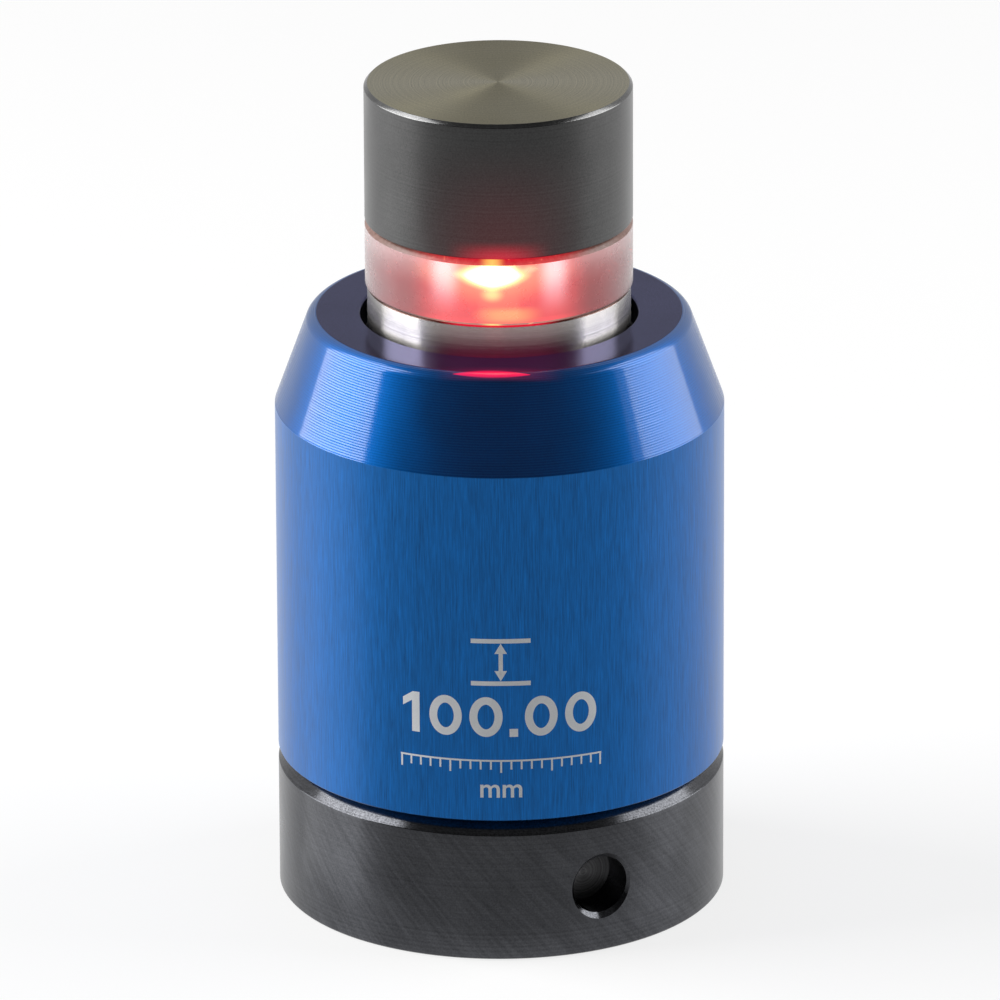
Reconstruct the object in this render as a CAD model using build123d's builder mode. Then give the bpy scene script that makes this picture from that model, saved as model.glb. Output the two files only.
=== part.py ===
# Electric tool setter: a spring-loaded contact head with a lit window, carried in a blue
# anodised housing that is screwed to a black steel magnet foot.
# Millimetres, +Z up, origin at the centre of the foot's underside. The lamp faces -Y.
# The head is pressed down into the housing, against its spring, when a tool runs too deep.
import os
from math import cos, floor, radians, sin, tan

from build123d import *

# Heights of the visible stack, from the table up
base_height = 17.5
housing_height = 54.2
window_height = 8.2
cap_height = 16.5

# Way that the head can be pressed down, and the gap then left below its window
head_travel = 3.5
pressed_gap = 0.1

# Body radius, and its share of the one that the other radii are given for. They follow it.
body_radius = 26.5
girth = body_radius / 26.5

# Visible turned shapes
base_top_chamfer = 1.8
base_foot_chamfer = 0.25
housing_foot_chamfer = 0.2
cone_height = 11.25
cone_angle = 20.0
land_fillet = 1.5
lip_bore_radius = 16.3 * girth
lip_bore_chamfer = 0.2
plunger_radius = 15.5 * girth
plunger_rim_chamfer = 0.2
head_radius = 15.75 * girth
window_top_chamfer = 0.75
window_foot_chamfer = 0.3
cap_top_chamfer = 0.4
cap_foot_chamfer = 0.15

# Hole in the foot for the pin spanner that screws it off
spanner_hole_radius = 3.5
spanner_hole_depth = 5.0
spanner_hole_chamfer = 0.6
spanner_hole_height = 8.2
spanner_hole_angle = 26.5

# Screwed joint between foot and housing, with its seal
spigot_height = 10.0
thread_radius = 22.5 * girth
thread_depth = 0.9
thread_pitch = 1.5
thread_clearance = 0.1
undercut_height = 2.0
seal_wire_radius = 0.85
seal_clearance = 0.1

# Spring pocket, spring and the shoulder that stops the head at its set height
spring_pocket_depth = 8.5
spring_pocket_radius = 19.5 * girth
spring_wire_radius = 0.9
spring_mean_radius = 17.2 * girth
spring_pitch = 4.2
chamber_radius = 21.5 * girth
lip_thickness = 3.2
wiper_height = 3.4
bush_length = 18.0
bush_radius = 18.0 * girth
bush_running_clearance = 0.03
bush_recess = 0.5
wiper_clearance = 0.3

# Pin that keeps the head from turning
pin_radius = 1.25
pin_offset = 19.9 * girth
pin_grip = 6.0
pin_engagement = 2.9
pin_end_chamfer = 0.3
pin_clearance = 0.1

# Plunger: sleeve, stop flange and tail
flange_radius = 21.0 * girth
flange_thickness = 4.0
tail_radius = 14.5 * girth
tail_clearance = 4.1
cell_chamber_radius = 10.2 * girth
carrier_recess_radius = 12.55 * girth
web_thickness = 4.0
web_hole_radius = 8.1 * girth

# Window ring: thick-walled, with a locating step at each end and a slot for the lamp
window_bore_radius = 6.0 * girth
window_step_height = 1.6
locating_clearance = 0.05
step_end_gap = 0.2
lamp_slot_reach = 11.4 * girth
lamp_slot_clearance = 0.2

# Insulators, board and lamp
insulator_flange = 1.4
insulator_clearance = 0.1
board_thickness = 1.6
board_clearance = 0.25
lamp_height = 4.7
lamp_radius = 1.5
lamp_collar_radius = 1.9
lamp_collar_length = 1.0
lamp_length = 4.0 * girth
lamp_tip_gap = 0.3
lead_radius = 0.25
lead_spacing = 2.54
lead_bend_radius = 0.4
lead_hole_clearance = 0.1
resistor_length = 3.2
resistor_width = 1.6
resistor_height = 0.6
resistor_offset = 10.6 * girth
resistor_clearance = 0.2

# Screw that pulls cap, window and plunger together
cap_screw_radius = 2.5
cap_screw_reach = 30.0
cap_screw_head_radius = 4.25
cap_screw_head_height = 3.5
cap_screw_socket = 3.0
cap_screw_socket_depth = 2.0
screw_clearance = 0.1
screw_end_gap = 1.5
sleeve_clearance = 0.2

# Cell and its contacts
washer_height = 2.0
holder_floor = 0.8
head_side_gap = 0.4
plate_thickness = 0.5
plate_radius = 8.6 * girth
contact_pin_radius = 0.75
contact_pin_offset = 6.3 * girth
contact_pin_clearance = 0.1
cell_radius = 7.25 * girth
cell_button_radius = 2.75
cell_button_height = 1.0
cell_edge_fillet = 0.6
cell_clearance = 0.25
insert_clearance = 0.2
cell_spring_height = 4.0
cell_spring_radius = 4.5 * girth
cell_spring_wire_radius = 0.4
cell_spring_pitch = 1.3

# Plug that closes the cell chamber
plug_thread_depth = 0.5
plug_thread_pitch = 1.0
plug_recess = 0.2
plug_thickness = 3.7
plug_slot_width = 2.0
plug_slot_depth = 1.6

# Magnet set in the foot
pocket_radius = 20.0 * girth
pocket_depth = 9.0
core_radius = 8.0 * girth
resin_recess = 0.2
resin_height = 0.8
magnet_clearance = 0.1
spacer_wall = 1.0
core_screw_radius = 2.5
core_screw_head_radius = 4.8
core_screw_reach = 15.0
core_screw_recess = 0.3
core_screw_socket = 3.0
core_screw_socket_depth = 2.0

# Heights of the seats, worked out from the sizes above
housing_top = base_height + housing_height
window_bottom = housing_top + head_travel + pressed_gap
cap_bottom = window_bottom + window_height
cap_top = cap_bottom + cap_height
cone_bottom = housing_top - cone_height
land_radius = body_radius - cone_height * tan(radians(cone_angle))

spigot_top = base_height + spigot_height
spring_seat = spigot_top - spring_pocket_depth
bush_top = housing_top - lip_thickness - wiper_height
bush_bottom = bush_top - bush_length
stop_height = bush_bottom - bush_recess
flange_bottom = stop_height - flange_thickness
tail_bottom = spring_seat + head_travel + tail_clearance

board_top = window_bottom - window_step_height
insulator_top = board_top - board_thickness
web_top = insulator_top - insulator_flange
web_bottom = web_top - web_thickness
washer_bottom = web_bottom - washer_height
screw_head_bottom = washer_bottom - cap_screw_head_height
holder_top = washer_bottom
holder_bottom = screw_head_bottom - head_side_gap - holder_floor
cell_top = holder_bottom - plate_thickness
plug_bottom = tail_bottom + plug_recess
plug_top = plug_bottom + plug_thickness
cell_bottom = plug_top + cell_spring_height

insulator_hub_radius = web_hole_radius - insulator_clearance
insert_radius = cell_chamber_radius - insert_clearance
board_radius = carrier_recess_radius - board_clearance
screw_hole_radius = cap_screw_radius + screw_clearance
contact_pin_hole_radius = contact_pin_radius + contact_pin_clearance
contact_sleeve_radius = window_bore_radius - sleeve_clearance
window_step_radius = carrier_recess_radius - locating_clearance
cap_recess_depth = window_step_height + step_end_gap

lamp_axis_height = window_bottom + lamp_height
lamp_tip = lamp_slot_reach - lamp_tip_gap
lamp_back = lamp_tip - lamp_length
lead_drop = (lamp_back + contact_sleeve_radius) / 2
lamp_slot_width = 2 * (lamp_collar_radius + lamp_slot_clearance)


def ridges(crest, root, low, high, pitch):
    """Points of a ridged thread line, from low to high, that starts and ends at the root."""
    count = max(1, floor((high - low) / pitch))
    start = (low + high - count * pitch) / 2
    points = []
    for turn in range(count):
        points.append((root, start + turn * pitch))
        points.append((crest, start + (turn + 0.5) * pitch))
    points.append((root, start + count * pitch))
    return points


# Foot: black steel disc with a threaded spigot, open below for the magnet
thread_low = base_height + undercut_height
thread_line = ridges(
    thread_radius, thread_radius - thread_depth, thread_low, spigot_top, thread_pitch
)
spanner_direction = (
    sin(radians(spanner_hole_angle)),
    -cos(radians(spanner_hole_angle)),
    0,
)
spanner_mouth = (
    body_radius * spanner_direction[0],
    body_radius * spanner_direction[1],
    spanner_hole_height,
)

with BuildPart() as base:
    with BuildSketch(Plane.XZ):
        with BuildLine():
            Polyline(
                (0, pocket_depth),
                (pocket_radius, pocket_depth),
                (pocket_radius, 0),
                (body_radius - base_foot_chamfer, 0),
                (body_radius, base_foot_chamfer),
                (body_radius, base_height - base_top_chamfer),
                (body_radius - base_top_chamfer, base_height),
                (thread_radius - thread_depth, base_height),
                *thread_line,
                (thread_radius - thread_depth, spigot_top),
                (spring_pocket_radius, spigot_top),
                (spring_pocket_radius, spring_seat),
                (0, spring_seat),
                close=True,
            )
        make_face()
    revolve(axis=Axis.Z)
    with Locations(Plane(origin=spanner_mouth, z_dir=spanner_direction)):
        CounterSinkHole(
            radius=spanner_hole_radius,
            counter_sink_radius=spanner_hole_radius + spanner_hole_chamfer,
            depth=spanner_hole_depth,
            counter_sink_angle=90,
        )
    with BuildSketch(Plane.XY.offset(pocket_depth)):
        Circle(core_screw_radius + screw_clearance)
    extrude(
        amount=core_screw_recess + core_screw_reach + screw_end_gap - pocket_depth,
        mode=Mode.SUBTRACT,
    )
base.part.label = "base"

# Magnet ring, glued up against the foot's ceiling inside a brass spacer
magnet_outer_radius = pocket_radius - spacer_wall - 2 * magnet_clearance
resin_top = resin_recess + resin_height

with BuildPart() as magnet:
    with BuildSketch(Plane.XY.offset(resin_top)):
        Circle(magnet_outer_radius)
        Circle(core_radius + magnet_clearance, mode=Mode.SUBTRACT)
    extrude(amount=pocket_depth - resin_top)
magnet.part.label = "magnet"

with BuildPart() as magnet_spacer:
    with BuildSketch(Plane.XY.offset(resin_top)):
        Circle(pocket_radius - magnet_clearance)
        Circle(pocket_radius - magnet_clearance - spacer_wall, mode=Mode.SUBTRACT)
    extrude(amount=pocket_depth - resin_top)
magnet_spacer.part.label = "magnet_spacer"

with BuildPart() as resin_ring:
    with BuildSketch(Plane.XY.offset(resin_recess)):
        Circle(pocket_radius - magnet_clearance)
        Circle(core_radius + magnet_clearance, mode=Mode.SUBTRACT)
    extrude(amount=resin_height)
resin_ring.part.label = "resin_ring"

# Inner pole of the magnet, held by a countersunk socket screw
core_sink_radius = core_screw_head_radius + screw_clearance + core_screw_recess

with BuildPart() as pole_core:
    with BuildSketch(Plane.XY):
        Circle(core_radius)
    extrude(amount=pocket_depth)
    with Locations(Plane(origin=(0, 0, 0), z_dir=(0, 0, -1))):
        CounterSinkHole(
            radius=core_screw_radius + screw_clearance,
            counter_sink_radius=core_sink_radius,
            counter_sink_angle=90,
        )
pole_core.part.label = "pole_core"

core_cone_height = core_screw_head_radius - core_screw_radius

with BuildPart() as core_screw:
    with BuildSketch(Plane.XZ):
        with BuildLine():
            Polyline(
                (0, core_screw_recess),
                (core_screw_head_radius, core_screw_recess),
                (core_screw_radius, core_screw_recess + core_cone_height),
                (core_screw_radius, core_screw_recess + core_screw_reach),
                (0, core_screw_recess + core_screw_reach),
                close=True,
            )
        make_face()
    revolve(axis=Axis.Z)
    with BuildSketch(Plane.XY.offset(core_screw_recess)):
        RegularPolygon(core_screw_socket / 2, 6, major_radius=False)
    extrude(amount=core_screw_socket_depth, mode=Mode.SUBTRACT)
core_screw.part.label = "core_screw"

# Housing: blue shell with a 20 degree shoulder, screwed over the foot's spigot
bore_thread_line = [
    (radius + thread_clearance, height) for radius, height in reversed(thread_line)
]
chamber_bottom = spigot_top + undercut_height
seal_groove_radius = thread_radius + thread_clearance + 2 * seal_clearance
seal_groove_radius += seal_wire_radius

with BuildPart() as housing:
    with BuildSketch(Plane.XZ):
        with BuildLine():
            Polyline(
                (seal_groove_radius, base_height),
                (body_radius - housing_foot_chamfer, base_height),
                (body_radius, base_height + housing_foot_chamfer),
                (body_radius, cone_bottom),
                (land_radius, housing_top),
                (lip_bore_radius + lip_bore_chamfer, housing_top),
                (lip_bore_radius, housing_top - lip_bore_chamfer),
                (lip_bore_radius, housing_top - lip_thickness),
                (bush_radius, housing_top - lip_thickness),
                (bush_radius, stop_height),
                (chamber_radius, stop_height),
                (chamber_radius, chamber_bottom),
                (thread_radius + thread_clearance, chamber_bottom),
                (thread_radius + thread_clearance, spigot_top),
                *bore_thread_line,
                (seal_groove_radius, thread_low),
                close=True,
            )
        make_face()
    revolve(axis=Axis.Z)
    land_edges = housing.edges().filter_by(GeomType.CIRCLE)
    land_edges = land_edges.filter_by_position(Axis.Z, housing_top, housing_top)
    fillet(land_edges.sort_by(SortBy.RADIUS)[-1], radius=land_fillet)
    with BuildSketch(Plane.XY.offset(stop_height)):
        with Locations((pin_offset, 0)):
            Circle(pin_radius)
    extrude(amount=pin_grip, mode=Mode.SUBTRACT)
housing.part.label = "housing"

# Rubber ring that keeps coolant out of the screwed joint
seal_mid_radius = seal_groove_radius - seal_clearance - seal_wire_radius
seal_mid_height = base_height + seal_clearance + seal_wire_radius

with BuildPart() as base_seal:
    with BuildSketch(Plane.XZ):
        with Locations((seal_mid_radius, seal_mid_height)):
            Circle(seal_wire_radius)
    revolve(axis=Axis.Z)
base_seal.part.label = "base_seal"

# Bronze bush pressed into the housing, which guides the plunger
with BuildPart() as guide_bush:
    with BuildSketch(Plane.XY.offset(bush_bottom)):
        Circle(bush_radius)
        Circle(plunger_radius + bush_running_clearance, mode=Mode.SUBTRACT)
    extrude(amount=bush_length)
guide_bush.part.label = "guide_bush"

# Felt ring between bush and lip that wipes the plunger
with BuildPart() as wiper_ring:
    with BuildSketch(Plane.XY.offset(bush_top)):
        Circle(bush_radius)
        Circle(plunger_radius + wiper_clearance, mode=Mode.SUBTRACT)
    extrude(amount=wiper_height)
wiper_ring.part.label = "wiper_ring"

# Dowel pressed into the housing's shoulder, on which the flange's notch slides
pin_reach = head_travel + pin_engagement

with BuildPart() as guide_pin:
    with BuildSketch(Plane.XY.offset(stop_height - pin_reach)):
        with Locations((pin_offset, 0)):
            Circle(pin_radius)
    extrude(amount=pin_reach + pin_grip)
    chamfer(guide_pin.edges().group_by(Axis.Z)[0], length=pin_end_chamfer)
guide_pin.part.label = "guide_pin"

# Compression spring between the foot's pocket and the flange
with BuildPart() as return_spring:
    with BuildLine():
        coil = Helix(
            pitch=spring_pitch,
            height=flange_bottom - spring_seat - 2 * spring_wire_radius,
            radius=spring_mean_radius,
            center=(0, 0, spring_seat + spring_wire_radius),
        )
    with BuildSketch(Plane(origin=coil @ 0, z_dir=coil % 0)):
        Circle(spring_wire_radius)
    sweep(path=coil, is_frenet=True)
return_spring.part.label = "return_spring"

# Plunger: steel sleeve with a stop flange, a web below its top and a threaded tail
plug_line = ridges(
    cell_chamber_radius - thread_clearance + plug_thread_depth,
    cell_chamber_radius - thread_clearance,
    plug_bottom,
    plug_top,
    plug_thread_pitch,
)
tail_thread_line = [(radius + thread_clearance, height) for radius, height in plug_line]

with BuildPart() as plunger:
    with BuildSketch(Plane.XZ):
        with BuildLine():
            Polyline(
                (cell_chamber_radius, tail_bottom),
                (tail_radius, tail_bottom),
                (tail_radius, flange_bottom),
                (flange_radius, flange_bottom),
                (flange_radius, stop_height),
                (plunger_radius, stop_height),
                (plunger_radius, window_bottom - plunger_rim_chamfer),
                (plunger_radius - plunger_rim_chamfer, window_bottom),
                (carrier_recess_radius, window_bottom),
                (carrier_recess_radius, web_top),
                (web_hole_radius, web_top),
                (web_hole_radius, web_bottom),
                (cell_chamber_radius, web_bottom),
                *reversed(tail_thread_line),
                close=True,
            )
        make_face()
    revolve(axis=Axis.Z)
    notch_half_width = pin_radius + pin_clearance
    with BuildSketch(Plane.XY.offset(flange_bottom)):
        with Locations((pin_offset, 0)):
            Circle(notch_half_width)
            Rectangle(
                flange_radius,
                2 * notch_half_width,
                align=(Align.MIN, Align.CENTER),
            )
    extrude(amount=flange_thickness, mode=Mode.SUBTRACT)
plunger.part.label = "plunger"

# Window: clear acrylic ring that also insulates the cap from the plunger. A slot from
# below, open to the bore and round at its top, takes the lamp.
with BuildPart() as window:
    with BuildSketch(Plane.XZ):
        with BuildLine():
            Polyline(
                (window_bore_radius, window_bottom - window_step_height),
                (window_step_radius, window_bottom - window_step_height),
                (window_step_radius, window_bottom),
                (head_radius - window_foot_chamfer, window_bottom),
                (head_radius, window_bottom + window_foot_chamfer),
                (head_radius, cap_bottom - window_top_chamfer),
                (head_radius - window_top_chamfer, cap_bottom),
                (window_step_radius, cap_bottom),
                (window_step_radius, cap_bottom + window_step_height),
                (window_bore_radius, cap_bottom + window_step_height),
                close=True,
            )
        make_face()
    revolve(axis=Axis.Z)
    with BuildSketch(Plane.XZ):
        with Locations((0, lamp_axis_height)):
            Circle(lamp_slot_width / 2)
            Rectangle(
                lamp_slot_width,
                lamp_axis_height - window_bottom + window_step_height,
                align=(Align.CENTER, Align.MAX),
            )
    extrude(amount=lamp_slot_reach, mode=Mode.SUBTRACT)
window.part.label = "window"

# Cap: blackened steel contact face, recessed below for the window's step
screw_tip = washer_bottom + cap_screw_reach
cap_recess_top = cap_bottom + cap_recess_depth

with BuildPart() as cap:
    with BuildSketch(Plane.XZ):
        with BuildLine():
            Polyline(
                (0, cap_recess_top),
                (carrier_recess_radius, cap_recess_top),
                (carrier_recess_radius, cap_bottom),
                (head_radius - cap_foot_chamfer, cap_bottom),
                (head_radius, cap_bottom + cap_foot_chamfer),
                (head_radius, cap_top - cap_top_chamfer),
                (head_radius - cap_top_chamfer, cap_top),
                (0, cap_top),
                close=True,
            )
        make_face()
    revolve(axis=Axis.Z)
    with BuildSketch(Plane.XY.offset(cap_recess_top)):
        Circle(screw_hole_radius)
    extrude(amount=screw_tip + screw_end_gap - cap_recess_top, mode=Mode.SUBTRACT)
cap.part.label = "cap"

# Insulator: plastic hub through the web, whose flange carries the board
contact_pin_place = (0, contact_pin_offset)
resistor_place = (resistor_offset, 0)

with BuildPart() as insulator:
    with BuildSketch(Plane.XY.offset(web_bottom)):
        Circle(insulator_hub_radius)
    extrude(amount=web_thickness)
    with BuildSketch(Plane.XY.offset(web_top)):
        Circle(board_radius)
    extrude(amount=insulator_flange)
    with BuildSketch(Plane.XY.offset(web_bottom)):
        Circle(screw_hole_radius)
        with Locations(contact_pin_place):
            Circle(contact_pin_hole_radius)
    extrude(amount=insulator_top - web_bottom, mode=Mode.SUBTRACT)
    with BuildSketch(Plane.XY.offset(insulator_top - resistor_height - resistor_clearance)):
        with Locations(resistor_place):
            Rectangle(
                resistor_width + 2 * resistor_clearance,
                resistor_length + 2 * resistor_clearance,
            )
    extrude(amount=resistor_height + resistor_clearance, mode=Mode.SUBTRACT)
insulator.part.label = "insulator"

# Insulating washer that keeps the screw's head off the web
with BuildPart() as insulating_washer:
    with BuildSketch(Plane.XY.offset(washer_bottom)):
        Circle(insert_radius)
        Circle(screw_hole_radius, mode=Mode.SUBTRACT)
        with Locations(contact_pin_place):
            Circle(contact_pin_hole_radius, mode=Mode.SUBTRACT)
    extrude(amount=washer_height)
insulating_washer.part.label = "insulating_washer"

# Socket screw from below, which pulls the cap down on the window
with BuildPart() as cap_screw:
    with BuildSketch(Plane.XY.offset(screw_head_bottom)):
        Circle(cap_screw_head_radius)
    extrude(amount=cap_screw_head_height)
    with BuildSketch(Plane.XY.offset(washer_bottom)):
        Circle(cap_screw_radius)
    extrude(amount=cap_screw_reach)
    with BuildSketch(Plane.XY.offset(screw_head_bottom)):
        RegularPolygon(cap_screw_socket / 2, 6, major_radius=False)
    extrude(amount=cap_screw_socket_depth, mode=Mode.SUBTRACT)
cap_screw.part.label = "cap_screw"

# Plastic cup round the screw's head, with the cell's plus contact below it
with BuildPart() as contact_holder:
    with BuildSketch(Plane.XY.offset(holder_bottom)):
        Circle(insert_radius)
    extrude(amount=holder_top - holder_bottom)
    with BuildSketch(Plane.XY.offset(holder_bottom + holder_floor)):
        Circle(cap_screw_head_radius + head_side_gap)
    extrude(amount=holder_top - holder_bottom - holder_floor, mode=Mode.SUBTRACT)
    with BuildSketch(Plane.XY.offset(holder_bottom)):
        with Locations(contact_pin_place):
            Circle(contact_pin_hole_radius)
    extrude(amount=holder_top - holder_bottom, mode=Mode.SUBTRACT)
contact_holder.part.label = "contact_holder"

with BuildPart() as contact_plate:
    with BuildSketch(Plane.XY.offset(cell_top)):
        Circle(plate_radius)
    extrude(amount=plate_thickness)
contact_plate.part.label = "contact_plate"

# Brass pin that takes the current from the contact plate up to the board
with BuildPart() as contact_pin:
    with BuildSketch(Plane.XY.offset(holder_bottom)):
        with Locations(contact_pin_place):
            Circle(contact_pin_radius)
    extrude(amount=insulator_top - holder_bottom)
contact_pin.part.label = "contact_pin"

# Board: round circuit board under the window, drilled for the lamp's leads
with BuildPart() as led_board:
    with BuildSketch(Plane.XY.offset(insulator_top)):
        Circle(board_radius)
        Circle(screw_hole_radius, mode=Mode.SUBTRACT)
        with Locations((0, -lead_drop)):
            with GridLocations(lead_spacing, 1, 2, 1):
                Circle(lead_radius + lead_hole_clearance, mode=Mode.SUBTRACT)
    extrude(amount=board_thickness)
led_board.part.label = "led_board"

# Lamp: red diode with a domed tip, in the window's slot and looking outwards
with BuildPart() as led:
    with BuildSketch(Plane.XZ.offset(lamp_back)):
        with Locations((0, lamp_axis_height)):
            Circle(lamp_collar_radius)
    extrude(amount=lamp_collar_length)
    with BuildSketch(Plane.XZ.offset(lamp_back)):
        with Locations((0, lamp_axis_height)):
            Circle(lamp_radius)
    extrude(amount=lamp_length - lamp_radius)
    with Locations((0, lamp_radius - lamp_tip, lamp_axis_height)):
        Sphere(lamp_radius)
led.part.label = "led"

# Two wire leads, bent down from the lamp's back into the board
lead_end = insulator_top + lead_hole_clearance

with BuildPart() as led_leads:
    for side in (-1, 1):
        lead_x = side * lead_spacing / 2
        with BuildLine():
            lead_route = FilletPolyline(
                (lead_x, -lamp_back, lamp_axis_height),
                (lead_x, -lead_drop, lamp_axis_height),
                (lead_x, -lead_drop, lead_end),
                radius=lead_bend_radius,
            )
        with BuildSketch(Plane(origin=lead_route @ 0, z_dir=lead_route % 0)):
            Circle(lead_radius)
        sweep(path=lead_route)
led_leads.part.label = "led_leads"

# Series resistor, soldered flat under the board
with BuildPart() as resistor:
    with BuildSketch(Plane.XY.offset(insulator_top - resistor_height)):
        with Locations(resistor_place):
            Rectangle(resistor_width, resistor_length)
    extrude(amount=resistor_height)
resistor.part.label = "resistor"

# Brass sleeve on the screw, between the board's ring contact and the cap
with BuildPart() as contact_sleeve:
    with BuildSketch(Plane.XY.offset(board_top)):
        Circle(contact_sleeve_radius)
        Circle(screw_hole_radius, mode=Mode.SUBTRACT)
    extrude(amount=cap_recess_top - board_top)
contact_sleeve.part.label = "contact_sleeve"

# Cell with its plus button up, in a plastic sleeve that keeps it off the steel
with BuildPart() as cell:
    with BuildSketch(Plane.XY.offset(cell_bottom)):
        Circle(cell_radius)
    extrude(amount=cell_top - cell_button_height - cell_bottom)
    fillet(cell.edges().filter_by(GeomType.CIRCLE), radius=cell_edge_fillet)
    with BuildSketch(Plane.XY.offset(cell_top - cell_button_height)):
        Circle(cell_button_radius)
    extrude(amount=cell_button_height)
cell.part.label = "cell"

with BuildPart() as cell_sleeve:
    with BuildSketch(Plane.XY.offset(plug_top)):
        Circle(insert_radius)
        Circle(cell_radius + cell_clearance, mode=Mode.SUBTRACT)
    extrude(amount=cell_top - plug_top)
cell_sleeve.part.label = "cell_sleeve"

# Spring that presses the cell up and carries its minus side to the plug
with BuildPart() as cell_spring:
    with BuildLine():
        cell_coil = Helix(
            pitch=cell_spring_pitch,
            height=cell_spring_height - 2 * cell_spring_wire_radius,
            radius=cell_spring_radius,
            center=(0, 0, plug_top + cell_spring_wire_radius),
        )
    with BuildSketch(Plane(origin=cell_coil @ 0, z_dir=cell_coil % 0)):
        Circle(cell_spring_wire_radius)
    sweep(path=cell_coil, is_frenet=True)
cell_spring.part.label = "cell_spring"

# Plug: brass screw cover of the cell chamber, slotted for a coin
with BuildPart() as cell_plug:
    with BuildSketch(Plane.XZ):
        with BuildLine():
            Polyline((0, plug_bottom), *plug_line, (0, plug_top), close=True)
        make_face()
    revolve(axis=Axis.Z)
    with BuildSketch(Plane.XY.offset(plug_bottom)):
        Rectangle(2 * (cell_chamber_radius + plug_thread_depth), plug_slot_width)
    extrude(amount=plug_slot_depth, mode=Mode.SUBTRACT)
cell_plug.part.label = "cell_plug"

os.makedirs("parts", exist_ok=True)
for piece in (
    base,
    magnet,
    magnet_spacer,
    resin_ring,
    pole_core,
    core_screw,
    housing,
    base_seal,
    guide_bush,
    wiper_ring,
    guide_pin,
    return_spring,
    plunger,
    window,
    cap,
    insulator,
    insulating_washer,
    cap_screw,
    contact_holder,
    contact_plate,
    contact_pin,
    led_board,
    led,
    led_leads,
    resistor,
    contact_sleeve,
    cell,
    cell_sleeve,
    cell_spring,
    cell_plug,
):
    export_step(piece.part, f"parts/{piece.part.label}.step")
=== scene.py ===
from math import ceil, cos, floor, pi, radians, sin

import bmesh
import bpy
from mathutils import Matrix, Vector


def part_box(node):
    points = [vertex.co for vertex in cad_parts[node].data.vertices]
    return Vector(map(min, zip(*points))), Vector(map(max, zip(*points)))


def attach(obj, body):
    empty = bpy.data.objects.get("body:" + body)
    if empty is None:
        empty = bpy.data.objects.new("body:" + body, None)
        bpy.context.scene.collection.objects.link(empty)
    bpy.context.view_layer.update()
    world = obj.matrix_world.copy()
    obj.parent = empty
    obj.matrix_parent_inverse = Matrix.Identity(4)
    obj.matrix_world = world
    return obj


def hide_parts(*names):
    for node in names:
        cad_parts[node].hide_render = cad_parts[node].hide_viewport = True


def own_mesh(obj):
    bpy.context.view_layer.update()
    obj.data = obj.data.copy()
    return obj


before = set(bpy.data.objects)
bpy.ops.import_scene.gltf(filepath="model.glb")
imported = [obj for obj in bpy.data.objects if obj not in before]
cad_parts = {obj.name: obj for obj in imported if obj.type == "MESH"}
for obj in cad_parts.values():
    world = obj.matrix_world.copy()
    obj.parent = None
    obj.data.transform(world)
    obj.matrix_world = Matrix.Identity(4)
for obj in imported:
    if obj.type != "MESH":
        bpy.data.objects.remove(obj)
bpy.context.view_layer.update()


# Foot. A steel disc, turned all over and blackened in hot oxide, with a threaded spigot on
# which the housing is screwed down and one blind hole for the pin spanner that does it.
MM = 0.001
TURN_STEPS = 256
SMALLEST_ROUNDING_STEP = 0.12
SHARP_EDGE = radians(38)


def turned_shape(outline, steps=TURN_STEPS):
    """Spins an outline of (radius, height[, rounding]) in millimetres round the axis."""
    shape = bmesh.new()
    corners = [shape.verts.new((point[0] * MM, 0, point[1] * MM)) for point in outline]
    for first, second in zip(corners, corners[1:]):
        shape.edges.new((first, second))
    if outline[0][0] > 0:
        shape.edges.new((corners[-1], corners[0]))
    for corner, point in zip(corners, outline):
        if len(point) == 3:
            bmesh.ops.bevel(
                shape,
                geom=[corner],
                offset=point[2] * MM,
                offset_type="OFFSET",
                segments=max(3, ceil(point[2] / SMALLEST_ROUNDING_STEP)),
                profile=0.5,
                affect="VERTICES",
                material=-1,
            )
    bmesh.ops.spin(
        shape,
        geom=shape.verts[:] + shape.edges[:],
        cent=(0, 0, 0),
        axis=(0, 0, 1),
        angle=2 * pi,
        steps=steps,
        use_merge=True,
    )
    bmesh.ops.remove_doubles(shape, verts=shape.verts, dist=1e-7)
    bmesh.ops.recalc_face_normals(shape, faces=shape.faces)
    return shape


def made_object(name, shape):
    """Puts a shape in the scene as an object at the origin."""
    mesh = bpy.data.meshes.new(name)
    shape.to_mesh(mesh)
    shape.free()
    made = bpy.data.objects.new(name, mesh)
    bpy.context.scene.collection.objects.link(made)
    return made


def baked_mesh(made):
    """Mesh of an object with its modifiers applied."""
    settled = made.evaluated_get(bpy.context.evaluated_depsgraph_get())
    return bpy.data.meshes.new_from_object(settled)


def machined(shape, cutter):
    """Takes the cutter's form out of a shape."""
    stock = made_object("stock", shape)
    tool = made_object("tool", cutter)
    cut = stock.modifiers.new("cut", "BOOLEAN")
    cut.operation = "DIFFERENCE"
    cut.solver = "EXACT"
    cut.object = tool
    rest = bmesh.new()
    mesh = baked_mesh(stock)
    rest.from_mesh(mesh)
    for spent in (stock.data, tool.data, mesh):
        bpy.data.meshes.remove(spent)
    return rest


def finished_piece(name, shape, finishes, body, node=None):
    """Shades a shape, gives it its finishes and lets it ride on its body."""
    for face in shape.faces:
        face.smooth = True
    for edge in shape.edges:
        edge.smooth = edge.calc_face_angle(0) < SHARP_EDGE
    made = made_object(name, shape)
    for finish in finishes:
        made.data.materials.append(finish)
    even = made.modifiers.new("even", "WEIGHTED_NORMAL")
    even.keep_sharp = True
    even.weight = 50
    mesh = baked_mesh(made)
    made.modifiers.clear()
    made.data = mesh
    made.data.name = name
    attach(made, body)
    if node:
        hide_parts(node)
    return made


def new_finish(name):
    """An empty finish: its material, its nodes and its shader."""
    finish = bpy.data.materials.new(name)
    finish.use_nodes = True
    return finish, finish.node_tree, finish.node_tree.nodes["Principled BSDF"]


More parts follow.
